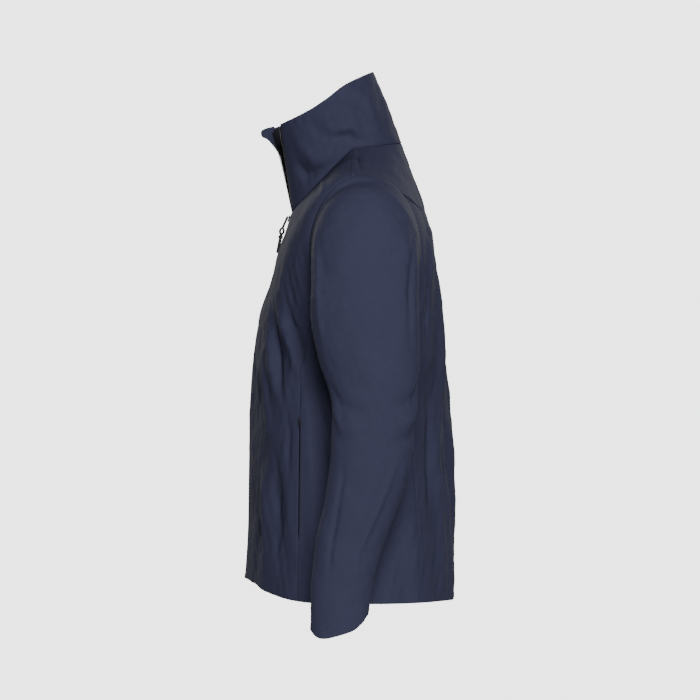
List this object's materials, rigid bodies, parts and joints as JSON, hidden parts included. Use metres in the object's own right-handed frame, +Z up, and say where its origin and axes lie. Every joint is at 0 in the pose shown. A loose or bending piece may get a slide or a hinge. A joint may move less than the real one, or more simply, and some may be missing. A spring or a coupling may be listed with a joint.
{
  "type": "foul weather jacket",
  "caption": "Hip-length navy foul weather jacket with a tall open funnel collar, full-length front zip, in-seam zip pockets, set-in sleeves and a lining.",
  "frame": {"origin": "middle of the lower edge of the hanger loop inside the back of the neck, which bears on the hook", "axes": "+Z up, front of the jacket towards -Y, wearer's left towards +X"},
  "size_m": [0.5744, 0.3053, 0.8122],
  "materials": {
    "shell_fabric": "matte softshell weave with a faint sheen",
    "lining_fabric": "fine mesh",
    "zip_tape": "woven tape",
    "zip_plastic": "moulded",
    "coated_metal": "black coated",
    "pull_rubber": "moulded",
    "pull_cord": "braided",
    "tape": "woven tape"
  },
  "bodies": {
    "root": {"back_lining": "lining_fabric", "back_panel": "shell_fabric", "chin_guard": "shell_fabric", "collar_lining": "shell_fabric", "collar_shell": "shell_fabric", "front_zip_insertion_pin": "zip_plastic", "front_zip_retainer_box": "zip_plastic", "front_zip_tape_left": "zip_tape", "front_zip_tape_right": "zip_tape", "front_zip_teeth_left": "zip_plastic", "front_zip_teeth_right": "zip_plastic", "hanger_loop": "tape", "hem_facing": "shell_fabric", "left_armhole_tape": "shell_fabric", "left_front_lining": "lining_fabric", "left_front_panel": "shell_fabric", "left_pocket_bag": "lining_fabric", "left_pocket_zip_coil": "zip_plastic", "left_pocket_zip_tape": "zip_tape", "left_side_lining": "lining_fabric", "left_side_panel": "shell_fabric", "right_armhole_tape": "shell_fabric", "right_front_lining": "lining_fabric", "right_front_panel": "shell_fabric", "right_pocket_bag": "lining_fabric", "right_pocket_zip_coil": "zip_plastic", "right_pocket_zip_tape": "zip_tape", "right_side_lining": "lining_fabric", "right_side_panel": "shell_fabric", "storm_flap": "shell_fabric"},
    "front_slider": {"front_slider": "coated_metal"},
    "front_pull_tab": {"front_pull_tab": "coated_metal"},
    "front_pull_cord": {"front_pull_loop": "pull_cord", "front_pull_bead": "pull_rubber", "front_pull_grip": "pull_rubber"},
    "left_pocket_slider": {"left_pocket_slider": "coated_metal"},
    "left_pocket_pull": {"left_pocket_pull": "coated_metal"},
    "right_pocket_slider": {"right_pocket_slider": "coated_metal"},
    "right_pocket_pull": {"right_pocket_pull": "coated_metal"},
    "left_sleeve": {"left_upper_sleeve": "shell_fabric", "left_under_sleeve": "shell_fabric", "left_cuff_facing": "shell_fabric", "left_sleeve_lining": "lining_fabric"},
    "right_sleeve": {"right_upper_sleeve": "shell_fabric", "right_under_sleeve": "shell_fabric", "right_cuff_facing": "shell_fabric", "right_sleeve_lining": "lining_fabric"}
  },
  "joints": [
    {"name": "front_zip_slide", "type": "slide", "parent": "root", "child": "front_slider", "axis": [0, -0.2847, -0.9586], "range_m": [0, 0.112]},
    {"name": "front_pull_swing", "type": "hinge", "parent": "front_slider", "child": "front_pull_tab", "pos_m": [0, -0.15526, -0.10174], "axis": [-1, 0, 0], "range_deg": [0, 120]},
    {"name": "front_cord_swing", "type": "hinge", "parent": "front_pull_tab", "child": "front_pull_cord", "pos_m": [0, -0.16185, -0.11686], "axis": [-1, 0, 0], "range_deg": [0, 35]},
    {"name": "left_pocket_zip_slide", "type": "slide", "parent": "root", "child": "left_pocket_slider", "axis": [0.0468, -0.0101, -0.9989], "range_m": [0, 0.15]},
    {"name": "left_pocket_pull_swing", "type": "hinge", "parent": "left_pocket_slider", "child": "left_pocket_pull", "pos_m": [0.16554, -0.13697, -0.39143], "axis": [-0.5211, -0.8534, -0.0158], "range_deg": [0, 120]},
    {"name": "right_pocket_zip_slide", "type": "slide", "parent": "root", "child": "right_pocket_slider", "axis": [-0.0468, -0.0101, -0.9989], "range_m": [0, 0.15]},
    {"name": "right_pocket_pull_swing", "type": "hinge", "parent": "right_pocket_slider", "child": "right_pocket_pull", "pos_m": [-0.16554, -0.13697, -0.39143], "axis": [-0.5211, 0.8534, 0.0158], "range_deg": [0, 120]},
    {"name": "left_sleeve_swing", "type": "hinge", "parent": "root", "child": "left_sleeve", "pos_m": [0.2008, -0.0457, -0.15], "axis": [-1, 0, 0], "range_deg": [-20, 45]},
    {"name": "right_sleeve_swing", "type": "hinge", "parent": "root", "child": "right_sleeve", "pos_m": [-0.2008, -0.0457, -0.15], "axis": [-1, 0, 0], "range_deg": [-20, 45]}
  ]
}
